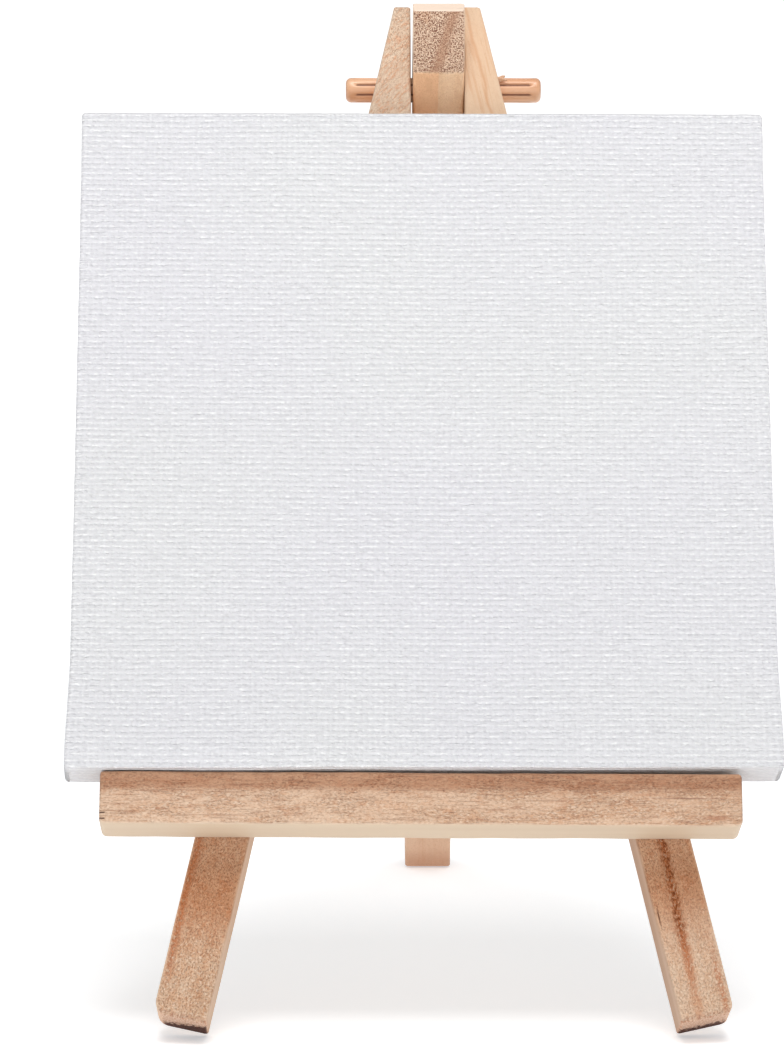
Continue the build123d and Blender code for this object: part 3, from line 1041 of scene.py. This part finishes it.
def primed_cloth():
    """White primer over a plain weave: wavy ribs across, crossed by finer threads, with slubs;
    painted shade in the ribs' valleys and painted highlights on their crests.
    """
    material, place = start_material("primed canvas", "weave")
    across, up = place.parts()[:2]
    sway = place.noise(0.55, 1.1, roughness=0.6)
    kinks = place.noise(1.5, 1.9, roughness=0.6)
    drift = place.noise(0.03, 0.05, detail=1.0)
    ribs = (up * (2 * pi / RIB_PITCH) + sway * 2.0 + kinks * 3.6 + drift * 6.0).math("SINE")
    threads = (across * (2 * pi / THREAD_PITCH) + sway * 6.0).math("SINE")
    patch = place.noise(0.5, 1.3, detail=3.0, roughness=0.65)
    broken = place.noise(1.4, 1.9, roughness=0.6)
    slubs = place.noise(0.9, 2.2, detail=1.0).step(0.66, 0.8)
    grit = place.noise(3.2, 5.0, roughness=0.6)
    shade = place.noise(0.02, 0.02, detail=1.0)

    # Painted shade in the ribs' valleys and painted highlights on their crests.
    valley_shade = ribs.step(-0.1, -0.95) * (0.25 + broken.step(0.4, 0.62) * 0.75)
    crest_highlight = ribs.step(0.45, 0.95) * broken.step(0.52, 0.40)
    colour = lay_over(
        shade.step(0.3, 0.7).blend(PRIMER, COOL_PRIMER),
        (valley_shade * 0.55, PRIMER_VALLEY_SHADE),
        (crest_highlight * 0.75, PRIMER_CREST_HIGHLIGHT),
    )
    height = ribs * (patch * 0.18 + 0.04) + ribs * threads * 0.03 + grit * 0.18 + slubs * 0.06
    return finish_material(material, colour, 0.82 + patch * 0.1, height)


def raw_cloth():
    """Back of the cloth: bare cotton, cream, with the weave open."""
    material, place = start_material("raw cotton back", "weave")
    across, up = place.parts()[:2]
    wander = place.noise(0.5, 0.5)
    weft = (up * (2 * pi / RIB_PITCH) + wander * 3.0).math("SINE")
    warp = (across * (2 * pi / THREAD_PITCH) + wander * 3.0).math("SINE")
    weave = weft * warp
    fleck = place.noise(1.2, 3.0, detail=3.0)
    colour = (weave.step(0.2, 1.0) * 0.4).blend(fleck.blend(COTTON, COTTON_FLECK), OPEN_WEAVE)
    return finish_material(material, colour, 0.9 + fleck * 0.05, weave * 0.04 + fleck * 0.02)


def staple_steel():
    """Bright galvanised wire, a little dull and spotted."""
    material, place = start_material("galvanised steel")
    spots = place.noise(scale=1.5, detail=3.0, roughness=0.7)
    colour = spots.step(0.35, 0.7).blend(STEEL, DULL_STEEL)
    return finish_material(material, colour, 0.28 + spots * 0.25, spots * 0.01, METAL)


# ------------------------------
# The object


def fit_piece(piece, body, slot, material, *nodes):
    """Gives a new piece its material, its body and the nodes it stands for. slot is not used."""
    piece.data.materials.append(material)
    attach(piece, body)
    if nodes:
        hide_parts(*nodes)


def refinish(material, *nodes):
    """Puts a better material on CAD nodes that keep their shape."""
    for node in nodes:
        for held in frame["nodes"][node].material_slots:
            held.material = material


left_leg = front_leg("left_leg_stick", -1, seed=11)
fit_piece(left_leg, "frame", "front_leg_wood", left_leg_pine(), "front_leg_left")
right_leg = front_leg("right_leg_stick", 1, seed=21)
fit_piece(right_leg, "frame", "front_leg_wood", right_leg_pine(), "front_leg_right")
back_leg = swinging_leg("back_leg_stick", seed=31)
fit_piece(back_leg, "back_leg", "back_leg_wood", back_leg_pine(), "back_leg")
ledge = ledge_bar("ledge_stick", seed=41)
fit_piece(ledge, "frame", "ledge_wood", ledge_pine(), "ledge")
dowel = fluted_dowel("fluted_dowel", seed=70)
fit_piece(dowel, "frame", "dowel_wood", dowel_pine(), "hinge_dowel")

# Each sliver's root from the hinge axis, its sweep, its width and its curl. Two stand over the
# dowel on the right, and one hangs under it on the left.
sliver_spans = (
    (mm(9.2, -1.627, 1.561), mm(1.2, -0.2, 0.7), 1.0 * MM, mm(0.2, 0, -0.7)),
    (mm(9.4, -1.327, 1.561), mm(0.7, -0.3, 0.7), 0.8 * MM, mm(0.2, 0, 0)),
    (mm(-9.6, -1.827, -1.439), mm(-0.3, -0.3, -0.8), 0.6 * MM, mm(0, 0, 0)),
)
torn_fibres = slivers("torn_fibres", [(pivot + root, *rest) for root, *rest in sliver_spans])
fit_piece(torn_fibres, "frame", "front_leg_wood", sliver_pine())

cloth = stretched_cloth("stretched_cloth")
fit_piece(cloth, "canvas", "primed_canvas", primed_cloth(), "canvas_cloth")
cloth.data.materials.append(raw_cloth())
cloth_low, cloth_high = front.turned(CANVAS_TURN).extent("canvas_cloth")
turned_in = 2 * (cloth_high[2] - cloth_low[2] + HEM)
cloth_high[0] - cloth_low[0] + turned_in
cloth_high[1] - cloth_low[1] + turned_in

level_pine = bar_pine("level bar pine", 0, 0, pi / 2)
refinish(level_pine, "stretcher_top", "stretcher_bottom")
upright_pine = bar_pine("upright bar pine", FRONT_LEAN - pi / 2, 0, 0)
refinish(upright_pine, "stretcher_left", "stretcher_right")
refinish(staple_steel(), "ledge_brads", "cloth_staples", "corner_staples")

# ------------------------------
# Stage, light and camera

FLOOR_HALF = 3.0
FLOOR_GLOW = (0.375, 0.395, 0.41, 1)  # round the object
GLOW_STARTS, GLOW_FULL = 200.0, 800.0  # to plain white, in millimetres from the middle
WHITE = (1, 1, 1, 1)
MATT_FLOOR = {
    "Base Color": (0.93, 0.93, 0.93, 1),
    "Roughness": 0.9,
    "Specular IOR Level": 0.0,
    "Emission Strength": 1.0,
}
SKY_LIGHT = 0.5
SKY_SEEN = 1.1
CAMERA_PLACE = mm(-10.95, -669.39, 139.1)
CAMERA_YAW = 0.0102
CAMERA_DIP = 0.1082
CAMERA_ROLL = 0.0014
CAMERA_LENS = 147.13  # on a sensor of 36, along the image's longer side


def pale_floor():
    """A flat matt floor that brightens to plain white away from the object."""
    material, place = start_material("pale floor")
    length = {"operation": "LENGTH"}
    reach = place.node("ShaderNodeVectorMath", length, {0: place}, output="Value")
    glow = reach.step(GLOW_STARTS, GLOW_FULL).blend(FLOOR_GLOW, WHITE)
    feed_surface(material, {"Emission Color": glow}, MATT_FLOOR)
    mesh = bpy.data.meshes.new("floor")
    corners = [(x, y, 0) for x, y in ((-1, -1), (1, -1), (1, 1), (-1, 1))]
    mesh.from_pydata((np.array(corners) * FLOOR_HALF).tolist(), [], [(0, 1, 2, 3)])
    mesh.materials.append(material)
    floor = bpy.data.objects.new("floor", mesh)
    bpy.context.scene.collection.objects.link(floor)


def white_studio():
    """An even white surround: a soft fill on the object, plain white behind it."""
    world = bpy.data.worlds.new("white studio")
    world.use_nodes = True
    tree = world.node_tree
    seen = Wire(tree, tree.nodes.new("ShaderNodeLightPath").outputs["Is Camera Ray"])
    strength = seen * (SKY_SEEN - SKY_LIGHT) + SKY_LIGHT
    background = tree.nodes["Background"]
    background.inputs["Color"].default_value = WHITE
    tree.links.new(strength.socket, background.inputs["Strength"])
    bpy.context.scene.world = world


def softbox(name, place, aim, size, watts):
    """A square area light at a place, turned towards a point."""
    light = bpy.data.lights.new(name, "AREA")
    light.size = size
    light.energy = watts
    lamp = bpy.data.objects.new(name, light)
    lamp.location = place
    lamp.rotation_euler = (Vector(aim) - Vector(place)).to_track_quat("-Z", "Y").to_euler()
    bpy.context.scene.collection.objects.link(lamp)


def aimed_camera():
    """The camera, turned aside by its yaw, down by its dip and over by its roll."""
    ahead = np.array(
        (sin(CAMERA_YAW) * cos(CAMERA_DIP), cos(CAMERA_YAW) * cos(CAMERA_DIP), -sin(CAMERA_DIP))
    )
    level_right = np.array((cos(CAMERA_YAW), -sin(CAMERA_YAW), 0))
    level_up = np.cross(level_right, ahead)
    right = cos(CAMERA_ROLL) * level_right + sin(CAMERA_ROLL) * level_up
    turn = Matrix(np.array((right, np.cross(right, ahead), -ahead)).T.tolist())
    lens = bpy.data.cameras.new("camera")
    lens.lens = CAMERA_LENS
    lens.sensor_width = 36
    lens.clip_start = 0.01
    camera = bpy.data.objects.new("camera", lens)
    camera.matrix_world = Matrix.Translation(CAMERA_PLACE) @ turn.to_4x4()
    bpy.context.scene.collection.objects.link(camera)
    bpy.context.scene.camera = camera


pale_floor()
white_studio()
softbox("top softbox", place=(0, -0.38, 0.95), aim=(0, 0, 0.06), size=0.5, watts=5.1)
softbox("low front fill", place=(0, -0.95, 0.1), aim=(0, 0, 0.08), size=0.8, watts=1.6)
aimed_camera()
bpy.context.scene.view_settings.view_transform = "Standard"
